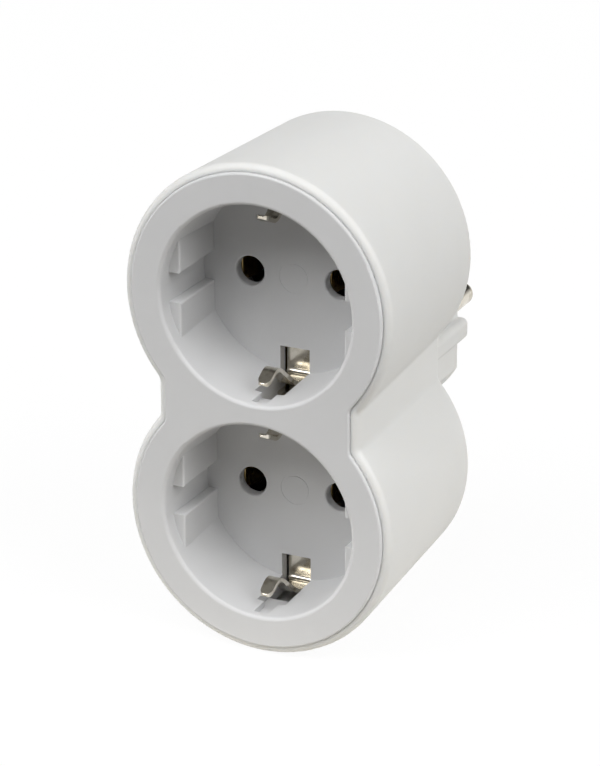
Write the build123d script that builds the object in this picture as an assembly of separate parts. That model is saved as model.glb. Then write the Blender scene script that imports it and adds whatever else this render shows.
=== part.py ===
from build123d import *
import os
from math import cos, radians, sin, tan

# Two-way plug-in socket adapter with surge protection. All sizes are in millimetres.
# Pieces are drawn lying on the socket face: x across, y up the wall, z from the sockets to the wall.
# z is 0 at the plug's end face. Each piece is stood upright when it is written.

# Socket wells, which set the size of the whole front
well_radius = 20.0
web_width = 4.3
rim_width = 8.0
well_depth = 17.5
well_draft = 1.7
rim_round = 0.8
floor_round = 0.1
guide_block = 2.8
guide_depth = 3.2
guide_slot = 6.0
guide_round = 0.4
pin_hole_radius = 3.0
pin_hole_round = 0.35
ring_radius = 3.25
ring_width = 0.5
ring_depth = 0.08

# White rear housing, measured at its front edge
waist_inset = 6.8
valley_round = 2.0
shell_draft = 2.55
body_depth = 43.2
shell_wall = 2.6
back_wall = 2.2
lip_width = 1.6
lip_round = 1.4
back_round = 1.0

# Grey socket face, let into the housing's lip and a little proud of it
joint_gap = 0.06
face_proud = 0.6
face_thickness = 3.1
face_edge_round = 0.5
cup_wall = 2.4
floor_thickness = 2.2
post_radius = 3.2
pilot_depth = 10.0
clamp_width = 4.0
clamp_thickness = 2.4

# Earth openings at the top and bottom of each well, measured from the well's wall and the face
window_width = 6.3
window_inset = 5.6
slot_reach = 1.7
slot_front_depth = 6.2
slot_open_depth = 11.6
pocket_wall = 1.5
groove_width = 3.2
groove_reach = 1.0
groove_front_depth = 1.8

# Plug
boss_radius = 18.5
boss_length = 17.0
boss_flat_half = 16.3
boss_rib = 4.4
rib_round = 1.2
boss_round = 1.0
boss_hollow_radius = 12.6
end_wall = 3.0
sleeve_radius = 4.0
sleeve_length = 10.0
pin_spacing = 19.0
pin_radius = 2.4
pin_length = 19.0
pin_tip_round = 1.8
shank_radius = 1.9
pin_recess_radius = 2.7
pin_recess_depth = 0.5
tenon_radius = 1.5

# Gap all round between a pin, rivet, screw or wire and its own hole
fit_gap = 0.05

# Live strips and contacts
strip_width = 6.0
strip_thickness = 1.0
strip_clearance = 2.2
contact_thickness = 0.6
contact_width = 7.0
contact_gap = 4.3
contact_base_half = 3.0
contact_mouth_half = 3.5
contact_mouth_gap = 1.2
contact_grip_part = 0.25
contact_neck_part = 0.6
contact_grip_bend = 1.2
contact_neck_bend = 1.8
contact_base_bend = 0.6
contact_rivet_radius = 1.2
rivet_head_radius = 2.0
rivet_head_height = 0.5
clamp_y = 14.6

# Earth bows in the wells, measured from the well's wall and the face
earth_thickness = 0.8
bow_width = 5.4
tongue_root_half = 1.5
tongue_tip_half = 1.3
shoulder_depth = 15.2
neck_depth = 14.0
root_outset = 0.8
root_bend = 1.4
rise_depth = 14.9
rise_bend = 3.0
crest_inset = 5.3
crest_depth = 7.5
crest_bend = 2.8
tip_inset = 3.2
tip_depth = 3.5

# Earth bridge and the plug's own earth clips
bridge_half_length = 16.6
clip_width = 5.0
clip_outer = 16.6
clip_foot_inner = 7.6
clip_end_inset = 1.4
clip_bend = 1.2
clip_clearance = 0.4
earth_rivet_y = 11.6
earth_rivet_radius = 1.1

# Surge varistor across the two strips, in the room between them and the earth bridge
varistor_front_gap = 2.6
varistor_back_gap = 1.4
varistor_thickness = 4.2
varistor_round = 1.2
lead_radius = 0.4
lead_spread = 0.625
lead_bend = 0.8
lead_inset = 1.5

# Case screws, in columns set in from the lobes' edges
screw_inset = 8.2
screw_angle = 45.0
column_radius = 4.2
column_depth = 8.0
column_shoulder = 2.0
screw_hole_radius = 1.7
screw_radius = 1.45
screw_length = 10.0
head_radius = 2.9
head_height = 2.0
head_clearance = 0.3
head_round = 0.6
drive_width = 0.7
drive_length = 3.2
drive_depth = 1.1

# Sizes, heights and places that follow from the sizes above
socket_pitch = 2 * well_radius + web_width
lobe_radius = well_radius + rim_width
waist_half_width = lobe_radius - waist_inset
guide_gap = 2 * (well_radius - guide_block)
window_inner = well_radius - window_inset
slot_bottom = well_radius + slot_reach
groove_bottom = well_radius + groove_reach
wall_start = well_radius - cup_wall
back_z = -boss_length
front_z = back_z - body_depth
lip_z = front_z + face_proud
seat_z = front_z + face_thickness
inner_back_z = back_z - back_wall
floor_z = front_z + well_depth
floor_back_z = floor_z + floor_thickness
strip_back_z = inner_back_z - strip_clearance
strip_front_z = strip_back_z - strip_thickness
bridge_front_z = floor_back_z + earth_thickness
foot_front_z = bridge_front_z + earth_thickness
foot_back_z = foot_front_z + earth_thickness
column_z = inner_back_z - column_depth
varistor_front_z = foot_front_z + varistor_front_gap
varistor_back_z = strip_front_z - rivet_head_height - varistor_back_gap
varistor_radius = (varistor_back_z - varistor_front_z) / 2
varistor_z = (varistor_back_z + varistor_front_z) / 2
lead_half_spacing = lead_spread * varistor_radius
well_y = socket_pitch / 2
pin_x = pin_spacing / 2
screw_x = (lobe_radius - screw_inset) * cos(radians(screw_angle))
screw_y = well_y + (lobe_radius - screw_inset) * sin(radians(screw_angle))
clip_inner = clip_outer - earth_thickness
both = (1, -1)

standing = (Align.CENTER, Align.CENTER, Align.MIN)


def rod(radius, low, high, x=0.0, y=0.0):
    return Pos(x, y, low) * Cylinder(radius, high - low, align=standing)


def bar(width, y_low, y_high, z_low, z_high, x=0.0):
    centre = Pos(x, (y_low + y_high) / 2, (z_low + z_high) / 2)
    return centre * Box(width, y_high - y_low, z_high - z_low)


def one_side(piece, side):
    return piece if side > 0 else mirror(piece, about=Plane.XZ)


def circles_at(piece, radius, height):
    # round edges of one size that lie at one height
    edges = piece.edges().filter_by(GeomType.CIRCLE)
    return [e for e in edges if abs(e.radius - radius) < 0.01 and abs(e.center().Z - height) < 0.01]


def bent_strip(points, bends, thickness, width, plane):
    # sheet metal of even thickness along a bent centre line, as wide as stated across it
    line = FilletPolyline(*points, radius=bends)
    section = make_face(offset(line, thickness / 2, side=Side.BOTH))
    return extrude(plane * section, width / 2, both=True)


def figure_of_eight(inset):
    # flat outline of two lobes and a waist, set in evenly from the housing's front outline
    shape = Rectangle(2 * (waist_half_width - inset), socket_pitch)
    for side in both:
        shape += Pos(0, side * well_y) * Circle(lobe_radius - inset)
    valleys = [v for v in shape.vertices() if abs(v.Y) < 0.9 * well_y]
    return fillet(valleys, valley_round)


def drafted(inset, low, high):
    # block of two cones and a waist between two heights, set in evenly from the housing's drafted outside
    slope = tan(radians(shell_draft))
    low_inset = inset + (low - front_z) * slope
    high_inset = inset + (high - front_z) * slope
    low_half = waist_half_width - low_inset
    high_half = waist_half_width - high_inset
    waist = Polygon((-low_half, low), (low_half, low), (high_half, high), (-high_half, high), align=None)
    block = extrude(Plane.XZ * waist, well_y, both=True)
    for side in both:
        cone = Cone(lobe_radius - low_inset, lobe_radius - high_inset, high - low, align=standing)
        block += Pos(0, side * well_y, low) * cone
    upright_edges = [e for e in block.edges() if e.bounding_box().size.Z > 0.9 * (high - low)]
    valleys = [e for e in upright_edges if abs(e.center().Y) < 0.9 * well_y]
    return fillet(valleys, valley_round)


def plug_boss():
    whole = rod(boss_radius, back_z, 0)
    core = whole & bar(2 * boss_flat_half, -boss_radius, boss_radius, back_z, 0)
    rib = whole & bar(2 * boss_radius, -boss_rib / 2, boss_rib / 2, back_z, 0)
    rib = fillet(rib.edges().filter_by(Axis.Z), rib_round)
    boss = core + rib
    return fillet(boss.faces().sort_by(Axis.Z)[-1].edges(), boss_round)


def rear_housing():
    shell = drafted(0, lip_z, back_z)
    shell = fillet(shell.faces().sort_by(Axis.Z)[0].edges(), lip_round)
    shell = fillet(shell.faces().sort_by(Axis.Z)[-1].edges(), back_round)
    housing = shell + plug_boss()
    housing -= extrude(Pos(0, 0, lip_z) * figure_of_eight(lip_width), face_thickness - face_proud)
    housing -= drafted(shell_wall, seat_z, inner_back_z)
    housing -= rod(boss_hollow_radius, inner_back_z, -end_wall)
    for x in (pin_x, -pin_x):
        housing += rod(sleeve_radius, -end_wall - sleeve_length, -end_wall, x)
        housing -= rod(shank_radius + fit_gap, -end_wall - sleeve_length, 0, x)
        housing -= rod(pin_recess_radius, -pin_recess_depth, 0, x)
    for side in both:
        channel_width = clip_width + 2 * clip_clearance
        housing -= one_side(bar(channel_width, clip_inner, boss_radius, back_z, 0), side)
        passage = bar(channel_width, clip_inner, clip_outer + clip_clearance, inner_back_z, back_z)
        housing -= one_side(passage, side)
        for x in (pin_x, -pin_x):
            cradle = bar(clamp_width, clamp_y, clamp_y + clamp_thickness, strip_back_z, inner_back_z, x)
            housing += one_side(cradle, side)
        for x in (screw_x, -screw_x):
            housing += rod(column_radius, column_z, inner_back_z, x, side * screw_y)
            housing -= rod(screw_hole_radius, column_z, back_z, x, side * screw_y)
            recess_low = column_z + column_shoulder
            housing -= rod(head_radius + head_clearance, recess_low, back_z, x, side * screw_y)
    return housing


def well_space():
    # the hollow of one well: a drafted cup that leaves the guide blocks standing at its sides
    floor_radius = well_radius - well_depth * tan(radians(well_draft))
    cup = Pos(0, 0, front_z) * Cone(well_radius, floor_radius, well_depth, align=standing)
    cup = fillet(cup.edges().sort_by(Axis.Z)[-1], floor_round)
    block_width = 2 * well_radius - guide_gap
    block_x = guide_gap / 2 + block_width / 2
    block = bar(block_width, guide_slot / 2, well_radius, front_z + guide_depth, floor_z + guide_round)
    shown = block.edges().group_by(Axis.X)[0] + block.edges().group_by(Axis.Z)[0]
    slot_side = block.edges().filter_by(Axis.Z).group_by(Axis.Y)[0].sort_by(Axis.X)[0]
    block = fillet(shown.filter_by(Axis.Y) + [slot_side], guide_round)
    for side in both:
        right = Pos(block_x, 0, 0) * one_side(block, side)
        cup -= right
        cup -= mirror(right, about=Plane.YZ)
    return cup


def earth_opening():
    # window through the floor, slot in the wall and groove for the tongue's tip, at the top of a well
    slot_z = front_z + slot_front_depth
    opening = bar(window_width, window_inner, slot_bottom, floor_z, floor_back_z)
    opening += bar(window_width, wall_start, slot_bottom, slot_z, floor_back_z)
    reach = slot_bottom + pocket_wall
    opening += bar(window_width, wall_start, reach, front_z + slot_open_depth, floor_back_z)
    opening += bar(groove_width, wall_start, groove_bottom, front_z + groove_front_depth, slot_z)
    return opening


def socket_face():
    plate_outline = figure_of_eight(lip_width + joint_gap)
    face = extrude(Pos(0, 0, front_z) * plate_outline, face_thickness)
    face = fillet(face.faces().sort_by(Axis.Z)[0].edges(), face_edge_round)
    pocket_width = window_width + 2 * pocket_wall
    cup_start = front_z + face_thickness / 2
    for y in (well_y, -well_y):
        face += rod(well_radius + cup_wall, cup_start, floor_back_z, 0, y)
        reach = slot_bottom + pocket_wall
        face += Pos(0, y, 0) * bar(pocket_width, -reach, reach, cup_start, floor_back_z)
    for y in (well_y, -well_y):
        face -= Pos(0, y, 0) * well_space()
    face = fillet(circles_at(face, well_radius, front_z), rim_round)
    ring = rod(ring_radius, floor_z, floor_z + ring_depth)
    ring -= rod(ring_radius - ring_width, floor_z, floor_z + ring_depth)
    for y in (well_y, -well_y):
        face -= Pos(0, y, 0) * ring
        for x in (pin_x, -pin_x):
            face -= rod(pin_hole_radius, floor_z, floor_back_z, x, y)
    face = fillet(circles_at(face, pin_hole_radius, floor_z), pin_hole_round)
    for y in (well_y, -well_y):
        for side in both:
            face -= Pos(0, y, 0) * one_side(earth_opening(), side)
    # the two slots at the web between the wells run into each other
    web_y = well_y - wall_start
    face -= bar(window_width, -web_y, web_y, front_z + slot_front_depth, floor_back_z)
    for side in both:
        dimple = rod(rivet_head_radius + clip_clearance, floor_back_z - rivet_head_height, floor_back_z)
        face -= Pos(0, side * earth_rivet_y, 0) * dimple
        for x in (pin_x, -pin_x):
            clamp = bar(clamp_width, clamp_y, clamp_y + clamp_thickness, floor_back_z, strip_front_z, x)
            face += one_side(clamp, side)
        for x in (screw_x, -screw_x):
            face += rod(post_radius, floor_back_z, column_z, x, side * screw_y)
            face -= rod(screw_radius + fit_gap, column_z - pilot_depth, column_z, x, side * screw_y)
    return face


def plug_pin(x):
    # turned pin: rounded tip outside, shank through the boss, tenon riveted over the strip
    pin = rod(pin_radius, 0, pin_length)
    pin = fillet(pin.edges().sort_by(Axis.Z)[-1], pin_tip_round)
    pin += rod(shank_radius, strip_back_z, 0)
    pin += rod(tenon_radius, strip_front_z, strip_back_z)
    pin += rod(rivet_head_radius, strip_front_z - rivet_head_height, strip_front_z)
    return Pos(x, 0, 0) * pin


def lead_place(x):
    # where a varistor lead goes into a strip
    across = pin_x - lead_inset
    return (across, lead_half_spacing) if x > 0 else (-across, -lead_half_spacing)


def busbar(x):
    ends = SlotOverall(socket_pitch + 2 * strip_width, strip_width, rotation=90)
    strip = extrude(Pos(x, 0, strip_front_z) * ends, strip_thickness)
    strip -= rod(tenon_radius + fit_gap, strip_front_z, strip_back_z, x)
    strip -= rod(lead_radius + fit_gap, strip_front_z, strip_back_z, *lead_place(x))
    for y in (well_y, -well_y):
        strip -= rod(contact_rivet_radius + fit_gap, strip_front_z, strip_back_z, x, y)
    return strip


def pin_contact(x, y):
    # U-shaped spring: two leaves that pinch a plug pin, with flared mouths behind the pin hole
    base_z = strip_front_z - contact_thickness / 2
    grip_half = (contact_gap + contact_thickness) / 2
    mouth_z = floor_back_z + contact_mouth_gap + contact_thickness / 2
    length = base_z - mouth_z
    grip_z = mouth_z + contact_grip_part * length
    neck_z = mouth_z + contact_neck_part * length
    leaf = [
        (contact_base_half, base_z),
        (contact_base_half, neck_z),
        (grip_half, grip_z),
        (contact_mouth_half, mouth_z),
    ]
    points = [(-u, v) for u, v in reversed(leaf)] + leaf
    leaf_bends = [contact_grip_bend, contact_neck_bend, contact_base_bend]
    bends = leaf_bends + leaf_bends[::-1]
    contact = bent_strip(points, bends, contact_thickness, contact_width, Plane.XZ)
    contact -= rod(contact_rivet_radius + fit_gap, strip_front_z - contact_thickness, strip_front_z)
    return Pos(x, y, 0) * contact


def rivet(radius, low, high, x, y):
    body = rod(radius, low, high, x, y)
    body += rod(rivet_head_radius, low - rivet_head_height, low, x, y)
    body += rod(rivet_head_radius, high, high + rivet_head_height, x, y)
    return body


def earth_bow(y):
    # strip behind the well's floor, turned forward at its ends and narrowed there to sprung, humped tongues
    strap_z = floor_back_z + earth_thickness / 2
    root_y = well_radius + root_outset
    half = [
        (root_y, strap_z),
        (root_y, front_z + rise_depth),
        (well_radius - crest_inset, front_z + crest_depth),
        (well_radius - tip_inset, front_z + tip_depth),
    ]
    points = [(-u, v) for u, v in reversed(half)] + half
    half_bends = [root_bend, rise_bend, crest_bend]
    bow = bent_strip(points, half_bends[::-1] + half_bends, earth_thickness, bow_width, Plane.YZ)
    tip_z = front_z + tip_depth - earth_thickness / 2 + tongue_tip_half
    right = [
        (bow_width / 2, foot_back_z),
        (bow_width / 2, front_z + shoulder_depth),
        (tongue_root_half, front_z + neck_depth),
        (tongue_tip_half, tip_z),
    ]
    left = [(-u, v) for u, v in reversed(right)]
    outline = Polygon(*right, *left, align=None) + Pos(0, tip_z) * Circle(tongue_tip_half)
    bow &= extrude(Plane.XZ * outline, socket_pitch, both=True)
    bow = Pos(0, y, 0) * bow
    for rivet_y in (earth_rivet_y, -earth_rivet_y):
        bow -= rod(earth_rivet_radius + fit_gap, floor_back_z, bridge_front_z, 0, rivet_y)
    return bow


def earth_bridge():
    bridge = bar(bow_width, -bridge_half_length, bridge_half_length, bridge_front_z, foot_front_z)
    for y in (earth_rivet_y, -earth_rivet_y):
        bridge -= rod(earth_rivet_radius + fit_gap, bridge_front_z, foot_front_z, 0, y)
    return bridge


def plug_earth_clip(side):
    # strip from the bridge, out through the back wall and along the boss to a turned-in end
    middle = clip_inner + earth_thickness / 2
    foot_z = foot_front_z + earth_thickness / 2
    points = [
        (clip_foot_inner, foot_z),
        (middle, foot_z),
        (middle, -clip_end_inset),
    ]
    clip = bent_strip(points, [clip_bend], earth_thickness, clip_width, Plane.YZ)
    clip -= rod(earth_rivet_radius + fit_gap, foot_front_z, foot_back_z, 0, earth_rivet_y)
    return one_side(clip, side)


def surge_varistor():
    disc = Rot(0, 90, 0) * Cylinder(varistor_radius, varistor_thickness)
    disc = fillet(disc.edges().filter_by(GeomType.CIRCLE), varistor_round)
    return Pos(0, 0, varistor_z) * disc


def varistor_leads():
    # one wire to each strip, from the disc's rim down and across into a hole in the strip
    leads = []
    start_z = varistor_z + (varistor_radius**2 - (lead_half_spacing + lead_radius) ** 2) ** 0.5
    run_z = strip_front_z - lead_bend - lead_radius
    for x in (pin_x, -pin_x):
        end_x, y = lead_place(x)
        line = FilletPolyline(
            (0, y, start_z),
            (0, y, run_z),
            (end_x, y, run_z),
            (end_x, y, strip_back_z),
            radius=lead_bend,
        )
        leads.append(sweep(Plane(line @ 0, z_dir=line % 0) * Circle(lead_radius), path=line))
    return group(lead - surge_varistor() for lead in leads)


def case_screw(x, y):
    head_z = column_z + column_shoulder
    head = rod(head_radius, head_z, head_z + head_height)
    head = fillet(head.edges().sort_by(Axis.Z)[-1], head_round)
    for turn in (0, 90):
        slot = Box(drive_length, drive_width, drive_depth)
        head -= Pos(0, 0, head_z + head_height - drive_depth / 2) * Rot(0, 0, turn) * slot
    return Pos(x, y, 0) * (head + rod(screw_radius, head_z - screw_length, head_z))


def group(solids):
    return Compound([piece.solid() for piece in solids])


def pieces():
    made = {"rear_housing": rear_housing(), "socket_face": socket_face()}
    for name, x in (("left", pin_x), ("right", -pin_x)):
        made[f"plug_pin_{name}"] = plug_pin(x)
        made[f"{name}_busbar"] = busbar(x)
        made[f"upper_{name}_contact"] = pin_contact(x, well_y)
        made[f"lower_{name}_contact"] = pin_contact(x, -well_y)
    made["upper_earth_bow"] = earth_bow(well_y)
    made["lower_earth_bow"] = earth_bow(-well_y)
    made["earth_bridge"] = earth_bridge()
    made["plug_earth_clip_top"] = plug_earth_clip(1)
    made["plug_earth_clip_bottom"] = plug_earth_clip(-1)
    made["surge_varistor"] = surge_varistor()
    made["varistor_leads"] = varistor_leads()
    rivet_low = strip_front_z - contact_thickness
    made["contact_rivets"] = group(
        rivet(contact_rivet_radius, rivet_low, strip_back_z, x, y)
        for x in (pin_x, -pin_x)
        for y in (well_y, -well_y)
    )
    made["earth_rivets"] = group(
        rivet(earth_rivet_radius, floor_back_z, foot_back_z, 0, y)
        for y in (earth_rivet_y, -earth_rivet_y)
    )
    made["case_screws"] = group(
        case_screw(x, y) for x in (screw_x, -screw_x) for y in (screw_y, -screw_y)
    )
    return made


# Stood upright: x turns to the left, y becomes up and z points into the wall
upright = Plane(origin=(0, 0, 0), x_dir=(-1, 0, 0), z_dir=(0, 1, 0))
os.makedirs("parts", exist_ok=True)
for node, piece in pieces().items():
    export_step(upright * piece, f"parts/{node}.step")
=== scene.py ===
import math

import bpy
from mathutils import Matrix, Vector


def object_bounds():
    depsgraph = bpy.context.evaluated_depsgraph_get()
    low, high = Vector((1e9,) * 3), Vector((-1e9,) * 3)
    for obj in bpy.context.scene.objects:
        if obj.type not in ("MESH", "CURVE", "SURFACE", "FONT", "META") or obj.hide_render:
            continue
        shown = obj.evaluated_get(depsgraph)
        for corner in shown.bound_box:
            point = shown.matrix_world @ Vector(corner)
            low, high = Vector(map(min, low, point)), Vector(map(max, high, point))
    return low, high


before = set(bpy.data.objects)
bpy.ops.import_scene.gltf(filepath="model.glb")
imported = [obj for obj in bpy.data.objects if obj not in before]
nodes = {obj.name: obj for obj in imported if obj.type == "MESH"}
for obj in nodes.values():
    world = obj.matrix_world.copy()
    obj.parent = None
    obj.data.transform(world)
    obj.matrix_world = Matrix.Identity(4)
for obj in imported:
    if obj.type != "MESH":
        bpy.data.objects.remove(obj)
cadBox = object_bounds()
print("frame loaded with", len(nodes), "pieces")


# short ways to lay out a node tree
def addNode(tree, kind, **settings):
    node = tree.nodes.new(kind)
    for label, value in settings.items():
        setattr(node, label, value)
    return node


def setOrLink(tree, value, socket):
    # numbers and colours are set on the socket, outputs of other nodes are linked to it
    if isinstance(value, (int, float, tuple)):
        socket.default_value = value
    else:
        tree.links.new(value, socket)


def addMath(tree, operation, first, second):
    node = addNode(tree, "ShaderNodeMath", operation=operation)
    setOrLink(tree, first, node.inputs[0])
    setOrLink(tree, second, node.inputs[1])
    return node.outputs[0]


def addNoise(tree, vector, scale, detail, roughness):
    noise = addNode(tree, "ShaderNodeTexNoise")
    values = {"Vector": vector, "Scale": scale, "Detail": detail, "Roughness": roughness}
    for label, value in values.items():
        setOrLink(tree, value, noise.inputs[label])
    return noise.outputs["Fac"]


def addRange(tree, value, fromLow, fromHigh, toLow, toHigh):
    node = addNode(tree, "ShaderNodeMapRange")
    values = {"Value": value, "From Min": fromLow, "From Max": fromHigh, "To Min": toLow, "To Max": toHigh}
    for label, target in values.items():
        setOrLink(tree, target, node.inputs[label])
    return node.outputs["Result"]


def addMix(tree, factor, first, second):
    mix = addNode(tree, "ShaderNodeMix", data_type="RGBA")
    for label, value in (("Factor", factor), ("A", first), ("B", second)):
        setOrLink(tree, value, mix.inputs[label])
    return mix.outputs["Result"]


def addBlend(tree, first, firstShare, second, secondShare):
    return addMath(
        tree,
        "ADD",
        addMath(tree, "MULTIPLY", first, firstShare),
        addMath(tree, "MULTIPLY", second, secondShare),
    )


def startGroup(name, inputs, outputs):
    group = bpy.data.node_groups.new(name, "ShaderNodeTree")
    for label, kind in inputs.items():
        group.interface.new_socket(name=label, in_out="INPUT", socket_type=kind)
    for label, kind in outputs.items():
        group.interface.new_socket(name=label, in_out="OUTPUT", socket_type=kind)
    return group, group.nodes.new("NodeGroupInput"), group.nodes.new("NodeGroupOutput")


finishOutputs = {"Color": "NodeSocketColor", "Roughness": "NodeSocketFloat", "Height": "NodeSocketFloat"}

# spark-eroded mould skin: fine grain, faint flow clouds in the tint and in the gloss
mouldSkin = {
    "cloudDetail": 3.0,
    "cloudRough": 0.5,
    "cloudRange": (0.3, 0.7),
    "grainDetail": 2.0,
    "grainRough": 0.6,
    "cloudShare": 0.6,
    "grainShare": 0.4,
    "sheenRange": (0.35, 0.65),
}


def buildMouldGrain(settings):
    inputs = {
        "Tint": "NodeSocketColor",
        "Cloud Tint": "NodeSocketColor",
        "Grain Scale": "NodeSocketFloat",
        "Cloud Scale": "NodeSocketFloat",
        "Rough Low": "NodeSocketFloat",
        "Rough High": "NodeSocketFloat",
    }
    group, inside, outside = startGroup("mouldGrain", inputs, finishOutputs)
    given = inside.outputs
    place = addNode(group, "ShaderNodeTexCoord").outputs["Object"]
    cloud = addNoise(group, place, given["Cloud Scale"], settings["cloudDetail"], settings["cloudRough"])
    grain = addNoise(group, place, given["Grain Scale"], settings["grainDetail"], settings["grainRough"])
    cloudMask = addRange(group, cloud, *settings["cloudRange"], 0.0, 1.0)
    colour = addMix(group, cloudMask, given["Tint"], given["Cloud Tint"])
    sheen = addBlend(group, cloud, settings["cloudShare"], grain, settings["grainShare"])
    rough = addRange(group, sheen, *settings["sheenRange"], given["Rough Low"], given["Rough High"])
    group.links.new(colour, outside.inputs["Color"])
    group.links.new(rough, outside.inputs["Roughness"])
    group.links.new(grain, outside.inputs["Height"])
    return group


# rolled and plated strip: lines along one axis, small stains, a duller film in patches
rolledSkin = {
    "lineDetail": 4.0,
    "lineRough": 0.6,
    "stainDetail": 4.0,
    "stainRough": 0.55,
    "stainRange": (0.48, 0.75),
    "lineShare": 0.5,
    "stainShare": 0.5,
    "filmRange": (0.35, 0.65),
}


def buildRolledMetal(settings):
    inputs = {
        "Bright": "NodeSocketColor",
        "Stain": "NodeSocketColor",
        "Line Stretch": "NodeSocketVector",
        "Stain Scale": "NodeSocketFloat",
        "Rough Low": "NodeSocketFloat",
        "Rough High": "NodeSocketFloat",
    }
    group, inside, outside = startGroup("rolledMetal", inputs, finishOutputs)
    given = inside.outputs
    place = addNode(group, "ShaderNodeTexCoord").outputs["Object"]
    stretch = addNode(group, "ShaderNodeVectorMath", operation="MULTIPLY")
    group.links.new(place, stretch.inputs[0])
    group.links.new(given["Line Stretch"], stretch.inputs[1])
    lines = addNoise(group, stretch.outputs[0], 1.0, settings["lineDetail"], settings["lineRough"])
    stains = addNoise(group, place, given["Stain Scale"], settings["stainDetail"], settings["stainRough"])
    stainMask = addRange(group, stains, *settings["stainRange"], 0.0, 1.0)
    colour = addMix(group, stainMask, given["Bright"], given["Stain"])
    film = addBlend(group, lines, settings["lineShare"], stains, settings["stainShare"])
    rough = addRange(group, film, *settings["filmRange"], given["Rough Low"], given["Rough High"])
    group.links.new(colour, outside.inputs["Color"])
    group.links.new(rough, outside.inputs["Roughness"])
    group.links.new(lines, outside.inputs["Height"])
    return group


mouldGrain = buildMouldGrain(mouldSkin)
rolledMetal = buildRolledMetal(rolledSkin)
print("finish groups built")


def finishMaterial(name, group, settings):
    material = bpy.data.materials.new(name)
    material.use_nodes = True
    tree = material.node_tree
    principled = tree.nodes["Principled BSDF"]
    finish = addNode(tree, "ShaderNodeGroup", node_tree=group)
    for label, value in settings["finish"].items():
        finish.inputs[label].default_value = value
    for label, value in settings["shader"].items():
        principled.inputs[label].default_value = value
    bump = addNode(tree, "ShaderNodeBump")
    bump.inputs["Strength"].default_value = 1.0
    bump.inputs["Distance"].default_value = settings["bumpDepth"]
    tree.links.new(finish.outputs["Height"], bump.inputs["Height"])
    tree.links.new(finish.outputs["Color"], principled.inputs["Base Color"])
    tree.links.new(finish.outputs["Roughness"], principled.inputs["Roughness"])
    tree.links.new(bump.outputs["Normal"], principled.inputs["Normal"])
    return material


def varyFinish(base, bumpDepth, changes):
    return {"finish": {**base["finish"], **changes}, "shader": base["shader"], "bumpDepth": bumpDepth}


def dress(material, *names):
    for name in names:
        slots = nodes[name].data.materials
        slots.clear()
        slots.append(material)


# white shell of the housing, a little see-through at its edges
shellFinish = {
    "finish": {
        "Tint": (0.700, 0.702, 0.690, 1),
        "Cloud Tint": (0.686, 0.688, 0.676, 1),
        "Grain Scale": 5200.0,
        "Cloud Scale": 38.0,
        "Rough Low": 0.48,
        "Rough High": 0.58,
    },
    "shader": {
        "Specular IOR Level": 0.45,
        "Subsurface Weight": 0.9,
        "Subsurface Radius": (1.0, 0.96, 0.9),
        "Subsurface Scale": 0.0012,
    },
    "bumpDepth": 0.000012,
}
dress(finishMaterial("shellPlastic", mouldGrain, shellFinish), "rear_housing")

# pale grey socket face
faceFinish = {
    "finish": {
        "Tint": (0.599, 0.601, 0.606, 1),
        "Cloud Tint": (0.585, 0.587, 0.592, 1),
        "Grain Scale": 6800.0,
        "Cloud Scale": 45.0,
        "Rough Low": 0.46,
        "Rough High": 0.56,
    },
    "shader": {
        "Specular IOR Level": 0.5,
        "Subsurface Weight": 0.5,
        "Subsurface Radius": (1.0, 0.98, 0.94),
        "Subsurface Scale": 0.0006,
    },
    "bumpDepth": 0.000008,
}
dress(finishMaterial("facePlastic", mouldGrain, faceFinish), "socket_face")
print("plastic dressed")

# nickel plate on everything a plug touches
nickelFinish = {
    "finish": {
        "Bright": (0.71, 0.67, 0.585, 1),
        "Stain": (0.38, 0.335, 0.255, 1),
        "Line Stretch": (5000.0, 500.0, 500.0),
        "Stain Scale": 420.0,
        "Rough Low": 0.10,
        "Rough High": 0.24,
    },
    "shader": {"Metallic": 1.0},
    "bumpDepth": 0.000004,
}
nickelPlate = finishMaterial("nickelPlate", rolledMetal, nickelFinish)
dress(nickelPlate, "upper_earth_bow", "lower_earth_bow", "earth_bridge")
dress(nickelPlate, "plug_earth_clip_top", "plug_earth_clip_bottom")

# the pins are drawn along their length
pinLines = {"Line Stretch": (600.0, 5200.0, 600.0), "Stain Scale": 260.0}
pinFinish = varyFinish(nickelFinish, 0.000004, pinLines)
dress(finishMaterial("pinPlate", rolledMetal, pinFinish), "plug_pin_left", "plug_pin_right")

# bare brass strip inside the case, its colour darkened all over as painted shade so the contacts read dark
# inside the pin holes
brassPaintedShadeFinish = {
    "finish": {
        "Bright": (0.42, 0.30, 0.13, 1),
        "Stain": (0.22, 0.15, 0.06, 1),
        "Line Stretch": (4600.0, 4600.0, 420.0),
        "Stain Scale": 300.0,
        "Rough Low": 0.2,
        "Rough High": 0.4,
    },
    "shader": {"Metallic": 1.0},
    "bumpDepth": 0.000006,
}
contacts = [f"{level}_{side}_contact" for level in ("upper", "lower") for side in ("left", "right")]
dress(finishMaterial("brassStripPaintedShade", rolledMetal, brassPaintedShadeFinish), "left_busbar", "right_busbar", *contacts)

# rivets, screws and wire are duller than the plate
rivetTint = {"Bright": (0.62, 0.60, 0.57, 1), "Rough Low": 0.25, "Rough High": 0.42}
rivetFinish = varyFinish(nickelFinish, 0.00001, rivetTint)
dress(finishMaterial("rivetMetal", rolledMetal, rivetFinish), "contact_rivets", "earth_rivets")

screwTint = {"Bright": (0.62, 0.63, 0.66, 1), "Stain": (0.42, 0.42, 0.44, 1)}
screwFinish = varyFinish(rivetFinish, 0.00001, screwTint)
dress(finishMaterial("screwZinc", rolledMetal, screwFinish), "case_screws")

wireTint = {"Bright": (0.68, 0.68, 0.67, 1), "Stain": (0.5, 0.5, 0.49, 1)}
wireFinish = varyFinish(rivetFinish, 0.000006, wireTint)
dress(finishMaterial("tinnedWire", rolledMetal, wireFinish), "varistor_leads")
print("metal dressed")

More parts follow.
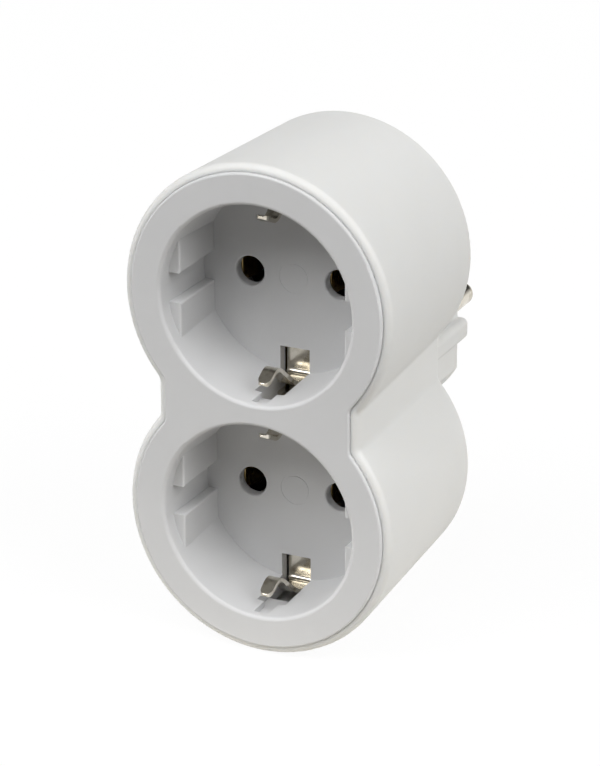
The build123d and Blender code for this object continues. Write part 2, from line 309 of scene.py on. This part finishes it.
# dipped coat of the varistor
coatFinish = {
    "finish": {
        "Tint": (0.025, 0.12, 0.40, 1),
        "Cloud Tint": (0.02, 0.09, 0.33, 1),
        "Grain Scale": 900.0,
        "Cloud Scale": 160.0,
        "Rough Low": 0.22,
        "Rough High": 0.36,
    },
    "shader": {"Coat Weight": 0.4},
    "bumpDepth": 0.00006,
}
dress(finishMaterial("varistorCoat", mouldGrain, coatFinish), "surge_varistor")
print("finishes on every piece")


# floor: seen as white with the object's shadow on it, while the light that it throws back
# is that of a pale card which fades into a dull table
paleFloor = {
    "half": 4.0,
    "drop": 0.0002,
    "seenTint": (1.0, 1.0, 1.0, 1),
    "cardTint": (0.67, 0.640, 0.580, 1),
    "tableTint": (0.10, 0.094, 0.085, 1),
    "cardRange": (0.06, 0.22),
    "whiteShare": 0.94,
}


def addFloor(settings):
    bpy.ops.object.select_all(action="DESELECT")
    low = cadBox[0][2] - settings["drop"]
    bpy.ops.mesh.primitive_plane_add(size=2 * settings["half"], location=(0, 0, low))
    floor = bpy.context.object
    floor.name = "paleFloor"
    material = bpy.data.materials.new("paleFloor")
    material.use_nodes = True
    tree = material.node_tree
    tree.nodes.remove(tree.nodes["Principled BSDF"])
    path = addNode(tree, "ShaderNodeLightPath").outputs
    mirrored = addMath(tree, "MAXIMUM", path["Is Glossy Ray"], path["Is Transmission Ray"])
    seen = addMath(tree, "MAXIMUM", path["Is Camera Ray"], mirrored)
    reach = addNode(tree, "ShaderNodeVectorMath", operation="LENGTH")
    tree.links.new(addNode(tree, "ShaderNodeTexCoord").outputs["Object"], reach.inputs[0])
    away = addRange(tree, reach.outputs["Value"], *settings["cardRange"], 0.0, 1.0)
    bounce = addMix(tree, away, settings["cardTint"], settings["tableTint"])
    matte = addNode(tree, "ShaderNodeBsdfDiffuse")
    tree.links.new(addMix(tree, seen, bounce, settings["seenTint"]), matte.inputs["Color"])
    white = addNode(tree, "ShaderNodeEmission")
    mix = addNode(tree, "ShaderNodeMixShader")
    tree.links.new(addMath(tree, "MULTIPLY", seen, settings["whiteShare"]), mix.inputs[0])
    tree.links.new(matte.outputs[0], mix.inputs[1])
    tree.links.new(white.outputs[0], mix.inputs[2])
    tree.links.new(mix.outputs[0], tree.nodes["Material Output"].inputs["Surface"])
    floor.data.materials.append(material)


# world: white to the camera, white low down in reflections under a darker ceiling,
# and hardly any light of its own
openStudio = {
    "tint": (1, 1, 1, 1),
    "ambient": 0.03,
    "horizon": 1.0,
    "ceiling": 0.05,
    "ceilingRange": (-0.02, 0.32),
}


def addWorld(settings):
    world = bpy.data.worlds.new("studioWorld")
    bpy.context.scene.world = world
    world.use_nodes = True
    tree = world.node_tree
    background = tree.nodes["Background"]
    background.inputs["Color"].default_value = settings["tint"]
    path = addNode(tree, "ShaderNodeLightPath").outputs
    compass = addNode(tree, "ShaderNodeSeparateXYZ")
    tree.links.new(addNode(tree, "ShaderNodeTexCoord").outputs["Object"], compass.inputs[0])
    levels = (settings["horizon"], settings["ceiling"])
    fade = addRange(tree, compass.outputs["Z"], *settings["ceilingRange"], *levels)
    mirrored = addMath(tree, "MULTIPLY", path["Is Glossy Ray"], fade)
    plain = addMath(tree, "MAXIMUM", path["Is Camera Ray"], path["Is Transmission Ray"])
    seen = addMath(tree, "MAXIMUM", plain, mirrored)
    tree.links.new(addMath(tree, "MAXIMUM", seen, settings["ambient"]), background.inputs["Strength"])


# soft boxes; the one behind lights the plug's side and stays out of the gloss
lampAim = (0.0, -0.04, 0.0)
softBoxes = {
    "keyBox": {"place": (0.0, -1.92, 2.56), "size": (2.0, 2.0), "watts": 47.0, "glint": True},
    "rightBox": {"place": (2.4, -0.8, 1.92), "size": (2.0, 2.0), "watts": 73.0, "glint": True},
    "leftBox": {"place": (-1.44, -1.76, 2.24), "size": (2.0, 2.0), "watts": 45.0, "glint": True},
    "lowLeftBox": {"place": (-3.04, -0.96, 0.256), "size": (2.0, 0.75), "watts": 30.0, "glint": True},
    "lowRightBox": {"place": (3.04, 0.64, 0.256), "size": (2.0, 0.75), "watts": 18.0, "glint": True},
    "backBox": {"place": (0.0, 3.2, 0.1), "size": (0.8, 0.6), "watts": 70.0, "glint": False},
}


def addLamp(name, settings):
    place = Vector(settings["place"])
    bpy.ops.object.light_add(type="AREA", location=place)
    lamp = bpy.context.object
    lamp.name = name
    lamp.data.shape = "RECTANGLE"
    lamp.data.size, lamp.data.size_y = settings["size"]
    lamp.data.energy = settings["watts"]
    lamp.visible_camera = False
    lamp.visible_glossy = settings["glint"]
    lamp.rotation_euler = (Vector(lampAim) - place).to_track_quat("-Z", "Y").to_euler()


addFloor(paleFloor)
addWorld(openStudio)
for name, settings in softBoxes.items():
    addLamp(name, settings)
print("studio lit")

photoCamera = {
    "eye": (0.27147, -0.60377, 0.25356),
    "target": (0.0, -0.0422, 0.0),
    "rollDegrees": -0.367,
    "lens": 162.9,
    "sensor": 36.0,
    "shift": (0.0049, 0.0014),
}


def addCamera(settings):
    eye = Vector(settings["eye"])
    bpy.ops.object.camera_add(location=eye)
    camera = bpy.context.object
    camera.name = "photoCamera"
    aim = (Vector(settings["target"]) - eye).to_track_quat("-Z", "Y").to_matrix()
    roll = Matrix.Rotation(math.radians(settings["rollDegrees"]), 3, "Z")
    camera.rotation_euler = (aim @ roll).to_euler()
    camera.data.sensor_width = settings["sensor"]
    camera.data.lens = settings["lens"]
    camera.data.shift_x, camera.data.shift_y = settings["shift"]
    bpy.context.scene.camera = camera


addCamera(photoCamera)
bpy.context.scene.view_settings.view_transform = "Standard"
print("camera set")
